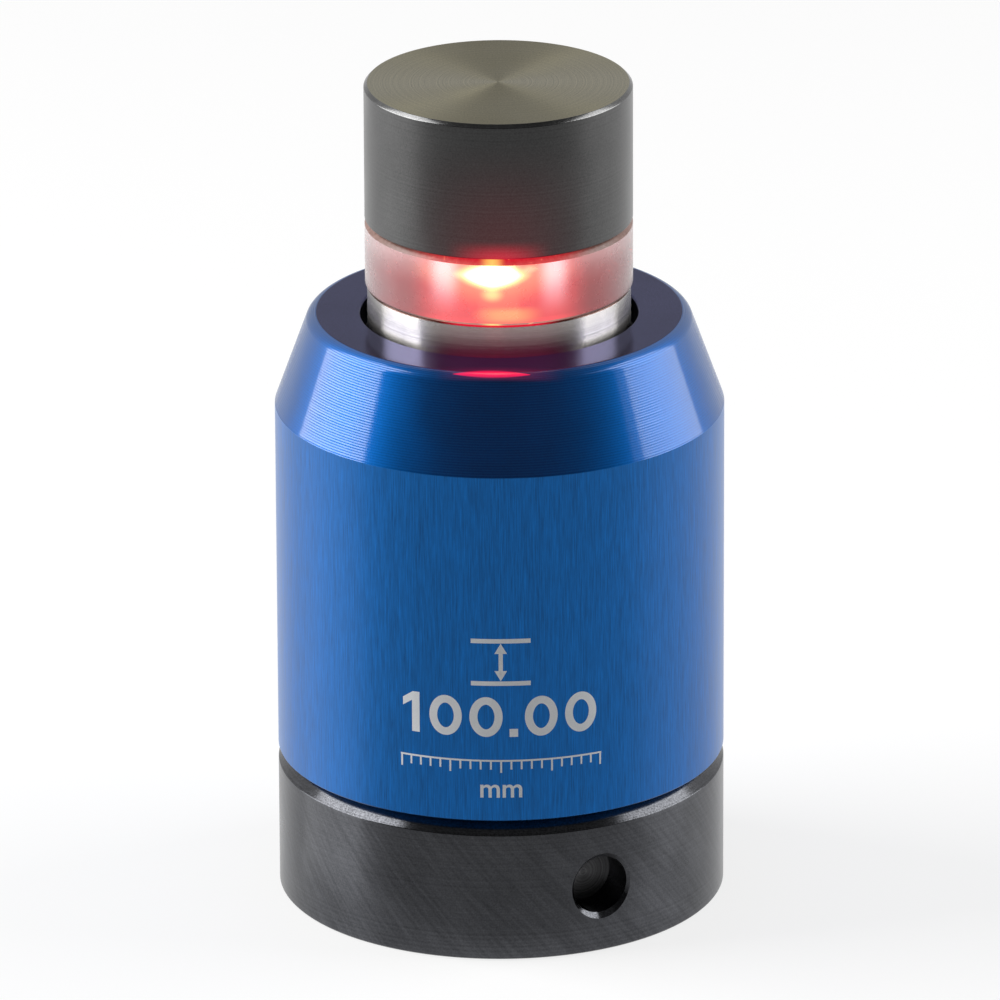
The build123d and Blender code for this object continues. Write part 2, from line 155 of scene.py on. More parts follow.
def node(tree, kind, inputs, **settings):
    """Adds a shader node. Its inputs are values, or outputs of other nodes."""
    made = tree.nodes.new("ShaderNode" + kind)
    for key, value in settings.items():
        setattr(made, key, value)
    for key, value in inputs.items():
        if isinstance(value, bpy.types.NodeSocket):
            tree.links.new(value, made.inputs[key])
        else:
            made.inputs[key].default_value = value
    return made


def sum_of(tree, operation, first, second=0.0, third=0.0):
    """Result of one Math node."""
    made = node(tree, "Math", {0: first, 1: second, 2: third}, operation=operation)
    return made.outputs[0]


def tones(tree, factor, stops):
    """Colour ramp from a list of (place, (red, green, blue))."""
    made = node(tree, "ValToRGB", {"Fac": factor})
    ramp = made.color_ramp
    while len(ramp.elements) < len(stops):
        ramp.elements.new(0.5)
    for element, (place, colour) in zip(ramp.elements, stops):
        element.position = place
        element.color = (*colour, 1)
    return made.outputs["Color"]


def shaded(colour, change):
    """A colour made darker or lighter by a share of itself."""
    return tuple(part * (1 + change) for part in colour)


def set_shader(shader, settings):
    """Sets uniform values on a shader's sockets."""
    for key, value in settings.items():
        shader.inputs[key].default_value = value


def place_of(tree):
    """Where a spot lies in the shared frame, in metres."""
    return node(tree, "TexCoord", {}).outputs["Object"]


def off_axis(tree, place):
    """Distance of a place from the upright axis."""
    flat = node(tree, "VectorMath", {0: place, 1: (1, 1, 0)}, operation="MULTIPLY").outputs[0]
    return node(tree, "VectorMath", {0: flat}, operation="LENGTH").outputs["Value"]


def noise(tree, place, scale, detail, **more):
    """Soft noise round 0.5, mostly between 0.3 and 0.7. Its scale is in waves per metre."""
    inputs = {"Vector": place, "Scale": scale, "Detail": detail, **more}
    return node(tree, "TexNoise", inputs).outputs["Fac"]


def spread(tree, value, low, high, start=0.3, end=0.7):
    """Stretches a value, so that start gives low and end gives high."""
    made = node(tree, "MapRange", {"Value": value, 1: start, 2: end, 3: low, 4: high})
    return made.outputs[0]


def set_relief(tree, shader, height, depth):
    """Bumps a surface and its coat by a height of about 0 to 1, times a depth in millimetres."""
    bump = node(tree, "Bump", {"Height": height, "Strength": 1.0, "Distance": depth * MM})
    tree.links.new(bump.outputs[0], shader.inputs["Normal"])
    tree.links.new(bump.outputs[0], shader.inputs["Coat Normal"])


def turned_finish(
    name,
    colour,
    pitch,
    depth,
    roughness,
    patch=0.1,
    lines=0.1,
    speckle=0.05,
    cut=0.0,
    coat_range=None,
    place=(0, 0, 0),
    turn=(0, 0, 0),
    **shader_settings,
):
    """Lathe-turned metal: fine grooves round an axis, glints drawn out across them, and a
    patchy tone. Pitch and depth of the grooves are in millimetres. Patch, lines and speckle are
    how much the patches, the grooves and the grain change the tone. Cut, from 0 to 1, makes the
    grooves even, as a steady feed does. Coat_range is the coat's weight at a groove and on a
    crest. Place and turn put the axis elsewhere than upright at 0."""
    finish, tree, shader = new_finish(name)
    local = node(
        tree,
        "Mapping",
        {"Vector": place_of(tree), "Location": place, "Rotation": turn},
        vector_type="TEXTURE",
    ).outputs[0]
    up = node(tree, "SeparateXYZ", {0: local}).outputs["Z"]
    inward = -1.37  # not 1 or -1, so that the grooves run on down a chamfer
    station = sum_of(tree, "MULTIPLY_ADD", off_axis(tree, local), inward, up)
    uneven = node(
        tree,
        "TexNoise",
        {"W": station, "Scale": 1 / (pitch * MM), "Detail": 2.0, "Roughness": 0.6},
        noise_dimensions="1D",
    ).outputs["Fac"]
    even = sum_of(tree, "SINE", sum_of(tree, "MULTIPLY", station, 2 * pi / (pitch * MM)))
    even_swing = 0.25  # about as far as the noise swings
    grooves = sum_of(
        tree,
        "MULTIPLY_ADD",
        even,
        even_swing * cut,
        sum_of(tree, "MULTIPLY_ADD", uneven, 1 - cut, 0.5 * cut),
    )
    patches = noise(tree, local, scale=160.0, detail=5.0)
    grain = noise(tree, local, scale=5200.0, detail=2.0)
    tone = sum_of(tree, "MULTIPLY", patches, patch)
    tone = sum_of(tree, "MULTIPLY_ADD", grooves, lines, tone)
    tone = sum_of(tree, "MULTIPLY_ADD", grain, speckle, tone)
    whole = patch + lines + speckle
    base = tones(
        tree,
        sum_of(tree, "DIVIDE", tone, whole),
        [(0.25, shaded(colour, -2 * whole)), (0.75, shaded(colour, 2 * whole))],
    )
    tree.links.new(base, shader.inputs["Base Color"])
    rough = spread(tree, patches, roughness * 0.92, roughness * 1.08)
    tree.links.new(rough, shader.inputs["Roughness"])
    if coat_range:
        coat = spread(tree, grooves, *coat_range)
        tree.links.new(coat, shader.inputs["Coat Weight"])
    grain_share = 0.3
    set_relief(tree, shader, sum_of(tree, "MULTIPLY_ADD", grain, grain_share, grooves), depth)
    around = node(tree, "VectorMath", {0: (0, 0, 1), 1: local}, operation="CROSS_PRODUCT")
    way_round = node(
        tree, "Mapping", {"Vector": around.outputs[0], "Rotation": turn}, vector_type="VECTOR"
    )
    tree.links.new(way_round.outputs[0], shader.inputs["Tangent"])
    set_shader(shader, {"Metallic": 1.0, "Anisotropic Rotation": 0.25, **shader_settings})
    return finish


foot_radius = 26.5
foot_height = 17.5
foot_top_chamfer = 1.8
foot_bottom_chamfer = 0.25
foot_colour = (0.071, 0.073, 0.08)
magnet_pocket_radius, magnet_pocket_roof = 20.0, 9.0
core_screw_radius, core_screw_end = 2.6, 16.8
spring_pocket_radius, spring_pocket_floor = 19.5, 19.0
spigot_root, spigot_crest = 21.6, 22.5
spigot_low, spigot_top = 19.5, 27.5
spigot_pitch = 1.5


def thread_outline(root, crest, low, high, pitch):
    """Ridges of a thread, from low to high."""
    count = floor((high - low) / pitch)
    start = (low + high - count * pitch) / 2
    points = [(root, start)]
    for turn in range(count):
        points.append((crest, start + (turn + 0.5) * pitch))
        points.append((root, start + (turn + 1) * pitch))
    return points


spigot_thread = thread_outline(spigot_root, spigot_crest, spigot_low, spigot_top, spigot_pitch)
# Rings up the wall keep its faces short, so that they stay smooth round the hole.
side_rings = [(foot_radius, float(height)) for height in range(1, 16)]
foot_shape = turned_shape(
    [
        (0, core_screw_end),
        (core_screw_radius, core_screw_end),
        (core_screw_radius, magnet_pocket_roof),
        (magnet_pocket_radius, magnet_pocket_roof),
        (magnet_pocket_radius, 0, 0.1),
        (foot_radius - foot_bottom_chamfer, 0, 0.05),
        (foot_radius, foot_bottom_chamfer, 0.05),
        *side_rings,
        (foot_radius, foot_height - foot_top_chamfer, 0.07),
        (foot_radius - foot_top_chamfer, foot_height, 0.05),
        (spigot_root, foot_height),
        *spigot_thread,
        (spigot_root, spigot_top),
        (spring_pocket_radius, spigot_top),
        (spring_pocket_radius, spring_pocket_floor),
        (0, spring_pocket_floor),
    ]
)
hole_radius = 3.5
hole_depth = 5.0
hole_chamfer = 0.6
hole_height = 8.2
hole_angle = radians(26.5)
overrun = 1.0
hole_drill = turned_shape(
    [
        (0, -hole_depth),
        (hole_radius, -hole_depth),
        (hole_radius, -hole_chamfer),
        (hole_radius + hole_chamfer + overrun, overrun),
        (0, overrun),
    ],
    steps=96,
)
hole_way = Matrix.Rotation(hole_angle, 4, "Z") @ Matrix.Rotation(pi / 2, 4, "X")
hole_mouth = Matrix.Translation(
    (foot_radius * MM * sin(hole_angle), -foot_radius * MM * cos(hole_angle), hole_height * MM)
)
bmesh.ops.transform(hole_drill, matrix=hole_mouth @ hole_way, verts=hole_drill.verts)
foot_shape = machined(foot_shape, hole_drill)
floor_zone, chamfer_zone = 1, 2
for face in foot_shape.faces:
    middle = face.calc_center_median()
    from_mouth = hole_way.inverted() @ (hole_mouth.inverted() @ middle) / MM
    if from_mouth.xy.length < hole_radius - 0.02 and abs(from_mouth.z) < 1.1 * hole_depth:
        face.material_index = floor_zone
    elif 0.3 < face.normal.z < 0.95 and middle.z < foot_height * MM:
        face.material_index = chamfer_zone


def add_chatter(finish, radius, lean, stretch, scale, strength):
    """Marks that a shivering tool leaves on a turned wall: slanting streaks, a share lighter
    and darker than the rest. Lean is their way round for each way up, and a low stretch makes
    them long."""
    tree = finish.node_tree
    shader = tree.nodes["Principled BSDF"]
    place = place_of(tree)
    drawn = node(tree, "VectorMath", {0: place, 1: (1, 1, stretch)}, operation="MULTIPLY")
    up = node(tree, "SeparateXYZ", {0: place}).outputs["Z"]
    turn = sum_of(tree, "MULTIPLY", up, lean / (radius * MM))
    slanted = node(
        tree, "VectorRotate", {"Vector": drawn.outputs[0], "Angle": turn}, rotation_type="Z_AXIS"
    ).outputs[0]
    streaks = noise(tree, slanted, scale=scale, detail=1.0)
    shade = spread(tree, streaks, 1 - strength, 1 + strength)
    plain = shader.inputs["Base Color"].links[0].from_socket
    marked = node(tree, "VectorMath", {0: plain, "Scale": shade}, operation="SCALE")
    tree.links.new(marked.outputs[0], shader.inputs["Base Color"])


foot_black = turned_finish(
    "foot_black",
    foot_colour,
    pitch=0.3,
    depth=0.0008,
    roughness=0.29,
    patch=0.07,
    lines=0.06,
    speckle=0.1,
    Anisotropic=0.85,
)
add_chatter(foot_black, foot_radius, lean=0.87, stretch=0.12, scale=1700.0, strength=0.13)
hole_floor = turned_finish(
    "drilled_floor",
    (0.13, 0.13, 0.135),
    pitch=0.3,
    depth=0.003,
    roughness=0.4,
    lines=0.16,
    place=hole_mouth.translation,
    turn=(pi / 2, 0, hole_angle),
    Anisotropic=0.9,
)
foot_edge = turned_finish(
    "foot_edge",
    foot_colour,
    pitch=0.3,
    depth=0.0004,
    roughness=0.15,
    speckle=0.3,
    Anisotropic=0.3,
)
foot_finishes = [foot_black, hole_floor, foot_edge]
finished_piece("foot", foot_shape, foot_finishes, "body", "base")


# Pot magnet in the foot. A sintered ring magnet in a brass spacer is glued round a steel
# core, sealed flush below with black resin, and held by one countersunk socket screw.
def moulded_finish(name, colour, roughness, grain, depth, patch=0.08, **shader_settings):
    """Cast, moulded, sintered or coated material with an even fine grain, in millimetres."""
    finish, tree, shader = new_finish(name)
    place = place_of(tree)
    fine = noise(tree, place, scale=1 / (grain * MM), detail=3.0)
    broad = noise(tree, place, scale=220.0, detail=4.0)
    tone = sum_of(tree, "MULTIPLY_ADD", fine, 0.4, sum_of(tree, "MULTIPLY", broad, 0.6))
    base = tones(tree, tone, [(0.3, shaded(colour, -patch)), (0.7, shaded(colour, patch))])
    tree.links.new(base, shader.inputs["Base Color"])
    rough = spread(tree, tone, roughness * 0.85, roughness * 1.15)
    tree.links.new(rough, shader.inputs["Roughness"])
    set_relief(tree, shader, fine, depth)
    set_shader(shader, shader_settings)
    return finish


def dress(names, finish):
    """Gives frame nodes a finish."""
    for name in names:
        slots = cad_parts[name].data.materials
        slots.clear()
        slots.append(finish)


brass_colour = (0.62, 0.43, 0.17)
dress(
    ["magnet"],
    moulded_finish(
        "sintered_magnet", (0.2, 0.2, 0.21), roughness=0.5, grain=0.12, depth=0.004, Metallic=1.0
    ),
)
dress(
    ["magnet_spacer"],
    turned_finish("spacer_brass", brass_colour, pitch=0.2, depth=0.002, roughness=0.3),
)
dress(
    ["resin_ring"],
    moulded_finish("black_resin", (0.02, 0.02, 0.022), roughness=0.22, grain=0.8, depth=0.01),
)
dress(
    ["pole_core"],
    turned_finish(
        "ground_core", (0.5, 0.5, 0.51), pitch=0.15, depth=0.002, roughness=0.28, Anisotropic=0.6
    ),
)
dress(
    ["core_screw"],
    moulded_finish(
        "black_screw", (0.05, 0.05, 0.055), roughness=0.35, grain=0.15, depth=0.002, Metallic=1.0
    ),
)


# Return spring. Patented steel wire, drawn and coiled with plain ends, which stands in the
# foot's pocket and pushes the contact head up against its stop. On the real part it shortens
# by the head's travel; here it is one fixed coil.
spring_wire_radius = 0.9
spring_pitch = 4.2
steps_per_turn = 64
wire_corners = 16
spring_low, spring_high = [Vector(corner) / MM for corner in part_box("return_spring")]
spring_length = spring_high.z - spring_low.z
coil_radius = spring_high.x - spring_wire_radius
coil_rise = spring_length - 2 * spring_wire_radius
coil_steps = round(steps_per_turn * coil_rise / spring_pitch)
coil_shape = bmesh.new()
wire_rings = []
for step in range(coil_steps + 1):
    rise = coil_rise * step / coil_steps
    angle = 2 * pi * rise / spring_pitch
    outward = Vector((cos(angle), sin(angle), 0))
    along_wire = Vector((-sin(angle), cos(angle), spring_pitch / (2 * pi * coil_radius)))
    across = outward.cross(along_wire.normalized())
    centre = outward * coil_radius + Vector((0, 0, spring_low.z + spring_wire_radius + rise))
    ring = []
    for corner in range(wire_corners):
        turn = 2 * pi * corner / wire_corners
        offset = (outward * cos(turn) + across * sin(turn)) * spring_wire_radius
        ring.append(coil_shape.verts.new((centre + offset) * MM))
    wire_rings.append(ring)
for ring, further in zip(wire_rings, wire_rings[1:]):
    for corner in range(wire_corners):
        after = (corner + 1) % wire_corners
        coil_shape.faces.new((ring[corner], ring[after], further[after], further[corner]))
coil_shape.faces.new(wire_rings[0])
coil_shape.faces.new(wire_rings[-1])
bmesh.ops.recalc_face_normals(coil_shape, faces=coil_shape.faces)
wire_finish = moulded_finish(
    "drawn_wire", (0.42, 0.42, 0.44), roughness=0.3, grain=0.1, depth=0.002, Metallic=1.0
)
coil = finished_piece(
    "wound_spring", coil_shape, [wire_finish], "body", "return_spring"
)
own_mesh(coil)


# Housing. Turned from aluminium bar and anodised blue: a cylinder with long fine grain, a 20
# degree shoulder with turning lines, and a flat land round the plunger.
side_blue_colour = (0.002, 0.122, 0.41)
# The shoulder's blue is the side's blue made darker: painted shade against the light the shoulder
# catches.
cone_shaded_blue = (0.0008, 0.08, 0.3)
land_colour = (0.048, 0.05, 0.1)
housing_radius = 26.495
housing_top = 71.7
cone_bottom = 60.45
land_radius = 22.405
fillet_reach = 1.05
housing_edge = 0.2
plunger_bore, lip_bottom = 16.3, 68.5
bush_bore, stop_height = 18.0, 46.6
flange_bore, joint_top = 21.5, 29.5
joint_bore = 23.65
thread_gap = 0.1
housing_shape = turned_shape(
    [
        (joint_bore, foot_height),
        (housing_radius - housing_edge, foot_height, 0.05),
        (housing_radius, foot_height + housing_edge, 0.05),
        (housing_radius, cone_bottom, 0.06),
        (land_radius, housing_top, fillet_reach),
        (plunger_bore + housing_edge, housing_top, 0.05),
        (plunger_bore, housing_top - housing_edge, 0.05),
        (plunger_bore, lip_bottom),
        (bush_bore, lip_bottom),
        (bush_bore, stop_height),
        (flange_bore, stop_height),
        (flange_bore, joint_top),
        (spigot_crest + thread_gap, joint_top),
        (spigot_crest + thread_gap, spigot_top),
        *[(radius + thread_gap, height) for radius, height in reversed(spigot_thread)],
        (joint_bore, spigot_low),
    ]
)
cone_zone, land_zone = 1, 2
for face in housing_shape.faces:
    middle = face.calc_center_median() / MM
    if middle.z > housing_top - 0.01 or middle.xy.length < plunger_bore + 0.3:
        face.material_index = land_zone
    elif middle.z > cone_bottom:
        face.material_index = cone_zone


def grained_blue(name, colour, roughness):
    """Anodised side with fine grain along the axis, which draws glints out sideways."""
    finish, tree, shader = new_finish(name)
    place = place_of(tree)
    stretch = 0.035
    contrast = 0.4
    drawn = node(tree, "Mapping", {"Vector": place, "Scale": (1, 1, stretch)}).outputs[0]
    lines = noise(tree, drawn, scale=7600.0, detail=3.0, Roughness=0.7)
    broad = noise(tree, drawn, scale=900.0, detail=2.0)
    tone = sum_of(tree, "MULTIPLY_ADD", lines, 0.88, sum_of(tree, "MULTIPLY", broad, 0.12))
    base = tones(tree, tone, [(0.3, shaded(colour, -contrast)), (0.7, shaded(colour, contrast))])
    tree.links.new(base, shader.inputs["Base Color"])
    rough = spread(tree, tone, roughness * 0.85, roughness * 1.15)
    tree.links.new(rough, shader.inputs["Roughness"])
    set_relief(tree, shader, lines, depth=0.002)
    around = node(tree, "VectorMath", {0: (0, 0, 1), 1: place}, operation="CROSS_PRODUCT")
    tree.links.new(around.outputs[0], shader.inputs["Tangent"])
    set_shader(
        shader,
        {
            "Metallic": 1.0,
            "Anisotropic": 0.6,
            "Coat Weight": 0.75,
            "Coat Roughness": 0.3,
            "Coat IOR": 1.3,
        },
    )
    return finish


def falloff(tree, value, near, far):
    """1 up to near, then smoothly down to 0 at far. Where far is less than near, it rises."""
    made = node(
        tree,
        "MapRange",
        {"Value": value, 1: near, 2: far, 3: 1.0, 4: 0.0},
        interpolation_type="SMOOTHSTEP",
    )
    return made.outputs[0]


def lamp_place(tree):
    """Place of a spot against the lamp, in millimetres: across with its sign, aside without
    it, and height. The last value is 1 at the front and fades to 0 towards the sides."""
    parts = node(tree, "SeparateXYZ", {0: place_of(tree)}).outputs
    across = sum_of(tree, "MULTIPLY", parts["X"], 1 / MM)
    aside = sum_of(tree, "ABSOLUTE", across)
    height = sum_of(tree, "MULTIPLY", parts["Z"], 1 / MM)
    front = falloff(tree, parts["Y"], -13.5 * MM, -8.0 * MM)
    return across, aside, height, front


def product_of(tree, *factors):
    """Product of any number of values."""
    total = factors[0]
    for factor in factors[1:]:
        total = sum_of(tree, "MULTIPLY", total, factor)
    return total


def paint_lamp_light(tree, shader, lights):
    """Paints the lamp's light on a finish as emission: the sum of a list of (colour, amount)."""
    total = (0, 0, 0)
    for colour, amount in lights:
        light = node(tree, "VectorMath", {0: colour, "Scale": amount}, operation="SCALE")
        parts = {0: total, 1: light.outputs[0]}
        total = node(tree, "VectorMath", parts, operation="ADD").outputs[0]
    tree.links.new(total, shader.inputs["Emission Color"])
    shader.inputs["Emission Strength"].default_value = 1.0


housing_finishes = [
    grained_blue("anodised_side", side_blue_colour, 0.42),
    turned_finish(
        "anodised_cone",
        cone_shaded_blue,
        pitch=0.43,
        depth=0.001,
        roughness=0.5,
        patch=0.03,
        lines=0.1,
        speckle=0.05,
        cut=0.8,
        coat_range=(0.0, 0.96),
        Anisotropic=0.6,
        **{"Coat Roughness": 0.1, "Coat IOR": 1.7},
    ),
    turned_finish(
        "anodised_land",
        land_colour,
        pitch=0.2,
        depth=0.0006,
        roughness=0.17,
        patch=0.04,
        lines=0.04,
        speckle=0.2,
        Anisotropic=0.3,
        **{"Specular Tint": (0.66, 0.66, 0.72, 1)},
    ),
]
# Painted light of the lamp on the rounded edge and the land, as emission: a red painted glint, a
# lens shape round a bent line, placed by the way down the rounding, which is the sum of a share of
# the way outward and one of the way down. A painted glow lies round it, and a faint painted red
# haze over the front.
glint_middle, glint_reach = -0.9, 4.6
glint_height, glint_bend = 0.24, 0.2
outward_share, down_share = 0.353, 0.936
for zone, painted_lamp_haze in ((cone_zone, (0.002, 0.0, 0.0005)), (land_zone, (0.036, 0.006, 0.03))):
    tree = housing_finishes[zone].node_tree
    across, aside, height, front = lamp_place(tree)
    radius = off_axis(tree, place_of(tree))
    outward = sum_of(tree, "MULTIPLY_ADD", radius, 1 / MM, fillet_reach - land_radius)
    down = sum_of(tree, "SUBTRACT", housing_top, height)
    round_edge = sum_of(
        tree, "MULTIPLY_ADD", outward, outward_share, sum_of(tree, "MULTIPLY", down, down_share)
    )
    along = sum_of(tree, "DIVIDE", sum_of(tree, "SUBTRACT", across, glint_middle), glint_reach)
    along = sum_of(tree, "MULTIPLY", along, along)
    glint_line = sum_of(tree, "MULTIPLY_ADD", along, glint_bend, glint_height)
    from_line = sum_of(tree, "ABSOLUTE", sum_of(tree, "SUBTRACT", round_edge, glint_line))
    narrowing = sum_of(tree, "MAXIMUM", sum_of(tree, "SUBTRACT", 1.0, along), 0.02)
    glint = sum_of(tree, "DIVIDE", from_line, narrowing)
    glint = product_of(tree, falloff(tree, glint, 0.2, 0.52), falloff(tree, along, 0.9, 1.0))
    glow = product_of(tree, falloff(tree, from_line, 0.2, 0.95), falloff(tree, aside, 1.0, 8.0))
    paint_lamp_light(
        tree,
        tree.nodes["Principled BSDF"],
        [
            ((0.9, 0.0, 0.04), product_of(tree, glint, front)),
            ((0.1, 0.0, 0.012), product_of(tree, glow, front)),
            (painted_lamp_haze, product_of(tree, falloff(tree, aside, 4.0, 15.0), front)),
        ],
    )
finished_piece("housing_shell", housing_shape, housing_finishes, "body", "housing")


# Fittings pressed or laid in the housing: rubber seal ring, sintered bronze guide bush, felt
# wiper ring and a hardened dowel that keeps the head from turning.
dress(
    ["base_seal"],
    moulded_finish("seal_rubber", (0.02, 0.02, 0.02), roughness=0.6, grain=0.2, depth=0.006),
)
dress(
    ["guide_bush"],
    turned_finish("sintered_bronze", (0.5, 0.3, 0.14), pitch=0.2, depth=0.002, roughness=0.4),
)
dress(
    ["wiper_ring"],
    moulded_finish("oiled_felt", (0.1, 0.1, 0.1), roughness=0.9, grain=0.09, depth=0.03, patch=0.3),
)
dress(
    ["guide_pin"],
    moulded_finish(
        "hardened_pin", (0.55, 0.55, 0.56), roughness=0.2, grain=0.1, depth=0.001, Metallic=1.0
    ),
)


# Plunger. A stainless sleeve, turned and polished, that slides in the bush. Its flange stops
# it at its set height, and its web carries the cap's screw.
plunger_radius = 15.5
plunger_bottom, plunger_top = 26.6, 75.3
plunger_edge = 0.2
sleeve_radius = 14.5
chamber_radius = 10.2
flange_radius = 21.0
flange_bottom, flange_top = 42.6, stop_height
web_bottom, web_top = 66.7, 70.7
web_bore = 8.1
recess_radius = 12.55
plug_thread = thread_outline(chamber_radius, crest=10.7, low=26.8, high=30.5, pitch=1.0)
plunger_shape = turned_shape(
    [
        (chamber_radius, plunger_bottom),
        (sleeve_radius, plunger_bottom, 0.1),
        (sleeve_radius, flange_bottom),
        (flange_radius, flange_bottom, 0.1),
        (flange_radius, flange_top, 0.1),
        (plunger_radius, flange_top),
        (plunger_radius, plunger_top - plunger_edge, 0.05),
        (plunger_radius - plunger_edge, plunger_top, 0.05),
        (recess_radius, plunger_top),
        (recess_radius, web_top),
        (web_bore, web_top),
        (web_bore, web_bottom),
        (chamber_radius, web_bottom),
        *reversed(plug_thread),
    ]
)


def draw_out(shape, way):
    """Draws the faces of a flat shape out into a solid."""
    drawn = bmesh.ops.extrude_face_region(shape, geom=shape.faces[:])["geom"]
    far_side = [part for part in drawn if isinstance(part, bmesh.types.BMVert)]
    bmesh.ops.translate(shape, vec=way, verts=far_side)


notch_middle = 19.9
notch_radius = 1.35
notch_opening = 3.0
notch = bmesh.new()
bmesh.ops.create_circle(notch, cap_ends=True, radius=notch_radius * MM, segments=32)
for corner in notch.verts:
    corner.co.z = (flange_bottom - overrun) * MM
    if corner.co.x > 0:
        corner.co.x += notch_opening * MM
    corner.co.x += notch_middle * MM
draw_out(notch, (0, 0, (flange_top - flange_bottom + 2 * overrun) * MM))
bmesh.ops.recalc_face_normals(notch, faces=notch.faces)
plunger_shape = machined(plunger_shape, notch)
for face in plunger_shape.faces:
    middle = face.calc_center_median() / MM
    on_rim = middle.xy.length > plunger_radius - plunger_edge - 0.05
    face.material_index = int(on_rim and middle.z > plunger_top - plunger_edge - 0.02)
# Both plunger finishes get painted red lamp light on the front as emission. The rim just under the
# window is painted dark brown: painted shade under the window's edge.
plunger_colour = (0.72, 0.69, 0.655)
plunger_finishes = []
for name, colour, light, reach in [
    ("plunger_stainless", plunger_colour, (0.045, 0.0, 0.002), 9.5),
    ("plunger_rim_shade_and_glow", (0.12, 0.07, 0.06), (0.7, 0.0, 0.03), 7.5),
]:
    finish = turned_finish(
        name,
        colour,
        pitch=0.22,
        depth=0.0008,
        roughness=0.25,
        patch=0.03,
        lines=0.08,
        speckle=0.06,
        Anisotropic=1.0,
    )
    tree = finish.node_tree
    across, aside, height, front = lamp_place(tree)
    paint_lamp_light(
        tree,
        tree.nodes["Principled BSDF"],
        [(light, product_of(tree, falloff(tree, aside, 4.0, reach), front))],
    )
    plunger_finishes.append(finish)
finished_piece(
    "plunger_sleeve", plunger_shape, plunger_finishes, "head", "plunger"
)


# Cell and its holders, loaded from below: a lithium cell in a plastic sleeve, between a
# spring on the slotted brass plug and a contact plate under the screw's head.
white_plastic = moulded_finish(
    "white_acetal", (0.8, 0.8, 0.78), roughness=0.45, grain=0.2, depth=0.002, patch=0.03
)
dress(["insulator", "insulating_washer", "contact_holder", "cell_sleeve"], white_plastic)
contact_brass = turned_finish("contact_brass", brass_colour, pitch=0.2, depth=0.002, roughness=0.25)
dress(["contact_plate", "contact_pin", "contact_sleeve", "cell_plug"], contact_brass)
dress(
    ["cell"],
    moulded_finish(
        "cell_can", (0.5, 0.5, 0.52), roughness=0.28, grain=0.3, depth=0.002, Metallic=1.0
    ),
)
dress(
    ["cell_spring"],
    moulded_finish(
        "plated_wire", (0.6, 0.6, 0.6), roughness=0.25, grain=0.1, depth=0.001, Metallic=1.0
    ),
)


# Lamp circuit on the plunger's web: a round glass-fibre board, a resistor soldered under it,
# and the red diode that lies in the window's slot with its two tinned leads.
dress(
    ["led_board"],
    moulded_finish("circuit_board", (0.02, 0.14, 0.06), roughness=0.35, grain=0.5, depth=0.004),
)
dress(
    ["led_leads"],
    moulded_finish(
        "tinned_wire", (0.7, 0.7, 0.7), roughness=0.25, grain=0.1, depth=0.001, Metallic=1.0
    ),
)
dress(
    ["resistor"],
    moulded_finish("resistor_body", (0.03, 0.03, 0.03), roughness=0.5, grain=0.1, depth=0.002),
)
lamp_height = 80.0
lamp_plastic = moulded_finish(
    "lamp_plastic", (0.6, 0.02, 0.01), roughness=0.2, grain=0.3, depth=0.001
)
lamp_shader = lamp_plastic.node_tree.nodes["Principled BSDF"]
set_shader(lamp_shader, {"Emission Color": (1, 0.3, 0.12, 1), "Emission Strength": 6.0})
dress(["led"], lamp_plastic)


# Window. A thick ring of clear acrylic, turned and left frosted, that also insulates the cap
# from the plunger. The diode sits in its slot, and the glow on the front is painted light.
window_radius = 15.75
window_bottom, window_top = plunger_top, 83.5
window_edge = 0.3
window_groove = 0.75
window_bore = 6.0
step_radius = 12.5
lower_step, upper_step = 73.7, 85.1
window_shape = turned_shape(
    [
        (window_bore, lower_step),
        (step_radius, lower_step),
        (step_radius, window_bottom),
        (window_radius - window_edge, window_bottom, 0.05),
        (window_radius, window_bottom + window_edge, 0.05),
        (window_radius, window_top - window_groove, 0.05),
        (window_radius - window_groove, window_top, 0.05),
        (step_radius, window_top),
        (step_radius, upper_step),
        (window_bore, upper_step),
    ]
)
slot_half_width = 2.1
slot_reach = 11.4
slot_drop = 6.5
slot_cutter = bmesh.new()
bmesh.ops.create_circle(slot_cutter, cap_ends=True, radius=slot_half_width * MM, segments=48)
for corner in slot_cutter.verts:
    corner.co = Vector((corner.co.x, 0, corner.co.y + lamp_height * MM))
    if corner.co.z < (lamp_height - 0.01) * MM:
        corner.co.z -= slot_drop * MM
draw_out(slot_cutter, (0, -slot_reach * MM, 0))
bmesh.ops.recalc_face_normals(slot_cutter, faces=slot_cutter.faces)
window_shape = machined(window_shape, slot_cutter)
groove_zone, edge_zone = 1, 2
for face in window_shape.faces:
    middle = face.calc_center_median() / MM
    if middle.xy.length > window_radius - window_groove - 0.01:
        if window_top - window_groove + 0.01 < middle.z < window_top - 0.01:
            face.material_index = groove_zone
        elif window_bottom + 0.01 < middle.z < window_bottom + window_edge + 0.02:
            face.material_index = edge_zone


def spot_distance(tree, across, height, centre, reach, power=2.0):
    """Distance from a spot's centre, which is 1 on its rim. With a power of 2 the rim is an
    ellipse, a lower one draws it to four points, and a higher one squares it."""
    total = 0.0
    for value, middle, size in zip((across, height), centre, reach):
        offset = sum_of(tree, "ABSOLUTE", sum_of(tree, "SUBTRACT", value, middle))
        share = sum_of(tree, "POWER", sum_of(tree, "DIVIDE", offset, size), power)
        total = sum_of(tree, "ADD", share, total)
    return sum_of(tree, "POWER", total, 1 / power)
